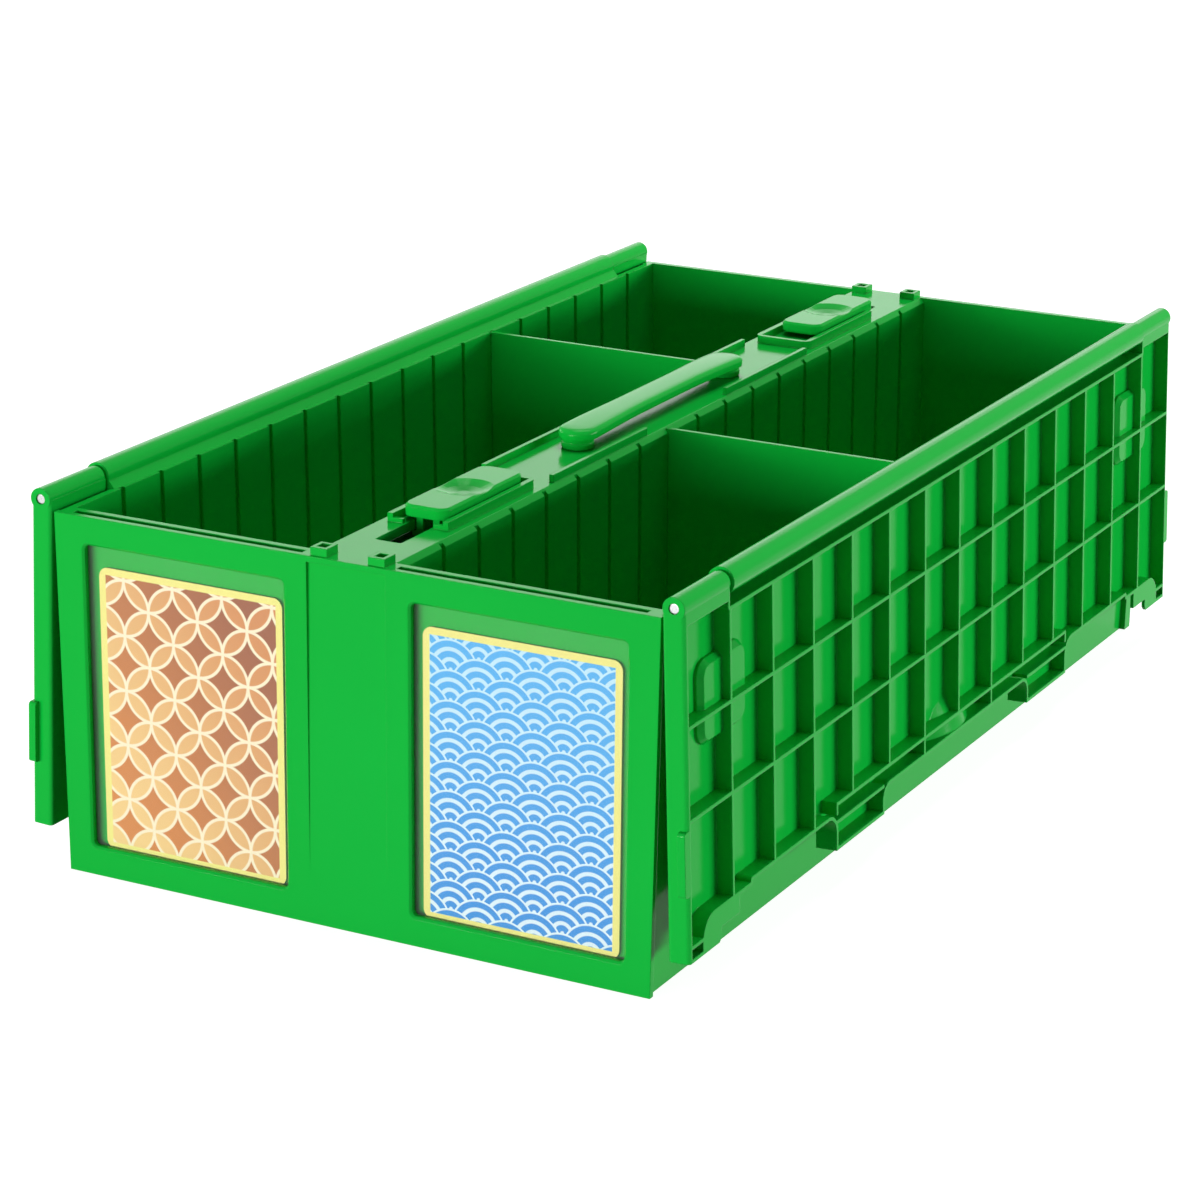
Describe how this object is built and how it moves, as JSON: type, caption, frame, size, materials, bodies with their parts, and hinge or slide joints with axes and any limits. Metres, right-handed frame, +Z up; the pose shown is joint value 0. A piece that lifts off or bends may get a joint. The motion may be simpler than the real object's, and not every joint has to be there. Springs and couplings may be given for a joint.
{
  "type": "card storage bin",
  "caption": "Two-row plastic bin for collectible cards with hinged lids on steel rods, sliding latches, a pull-up handle, lift-out dividers and windowed label slots.",
  "frame": {"origin": "middle of the base, at the bottom", "axes": "+X to the right seen from the windowed front, +Y from front to rear, +Z up"},
  "size_m": [0.2206, 0.3836, 0.119],
  "materials": {
    "green_plastic": "satin moulded polypropylene",
    "rod_steel": "drawn bright",
    "clear_plastic": "clear",
    "card_amber": "printed card",
    "card_blue": "printed card"
  },
  "bodies": {
    "bin": {"bin": "green_plastic", "hinge_rod_left": "rod_steel", "hinge_rod_right": "rod_steel"},
    "lid_left": {"lid_left": "green_plastic"},
    "lid_right": {"lid_right": "green_plastic"},
    "latch_front": {"latch_front": "green_plastic"},
    "latch_rear": {"latch_rear": "green_plastic"},
    "handle": {"handle": "green_plastic"},
    "divider_left": {"divider_left": "green_plastic"},
    "divider_right": {"divider_right": "green_plastic"},
    "label_left": {"label_card_left": "card_amber", "label_pane_left": "clear_plastic"},
    "label_right": {"label_card_right": "card_blue", "label_pane_right": "clear_plastic"}
  },
  "joints": [
    {"name": "lid_right_hinge", "type": "hinge", "parent": "bin", "child": "lid_right", "pos_m": [0.1033, 0, 0.1149], "axis": [0, 1, 0], "range_deg": [-267.8, 2.5]},
    {"name": "lid_left_hinge", "type": "hinge", "parent": "bin", "child": "lid_left", "pos_m": [-0.1033, 0, 0.1149], "axis": [0, -1, 0], "range_deg": [-267.8, 2.5]},
    {"name": "latch_front_slide", "type": "slide", "parent": "bin", "child": "latch_front", "axis": [0, -1, 0], "range_m": [0, 0.021]},
    {"name": "latch_rear_slide", "type": "slide", "parent": "bin", "child": "latch_rear", "axis": [0, 1, 0], "range_m": [-0.0116, 0.0094]},
    {"name": "handle_lift", "type": "slide", "parent": "bin", "child": "handle", "axis": [0, 0, 1], "range_m": [0, 0.017]},
    {"name": "divider_left_lift", "type": "slide", "parent": "bin", "child": "divider_left", "axis": [0, 0, 1], "range_m": [0, 0.06]},
    {"name": "divider_right_lift", "type": "slide", "parent": "bin", "child": "divider_right", "axis": [0, 0, 1], "range_m": [0, 0.06]},
    {"name": "label_left_lift", "type": "slide", "parent": "bin", "child": "label_left", "axis": [0, 0, 1], "range_m": [0, 0.06]},
    {"name": "label_right_lift", "type": "slide", "parent": "bin", "child": "label_right", "axis": [0, 0, 1], "range_m": [0, 0.06]}
  ]
}
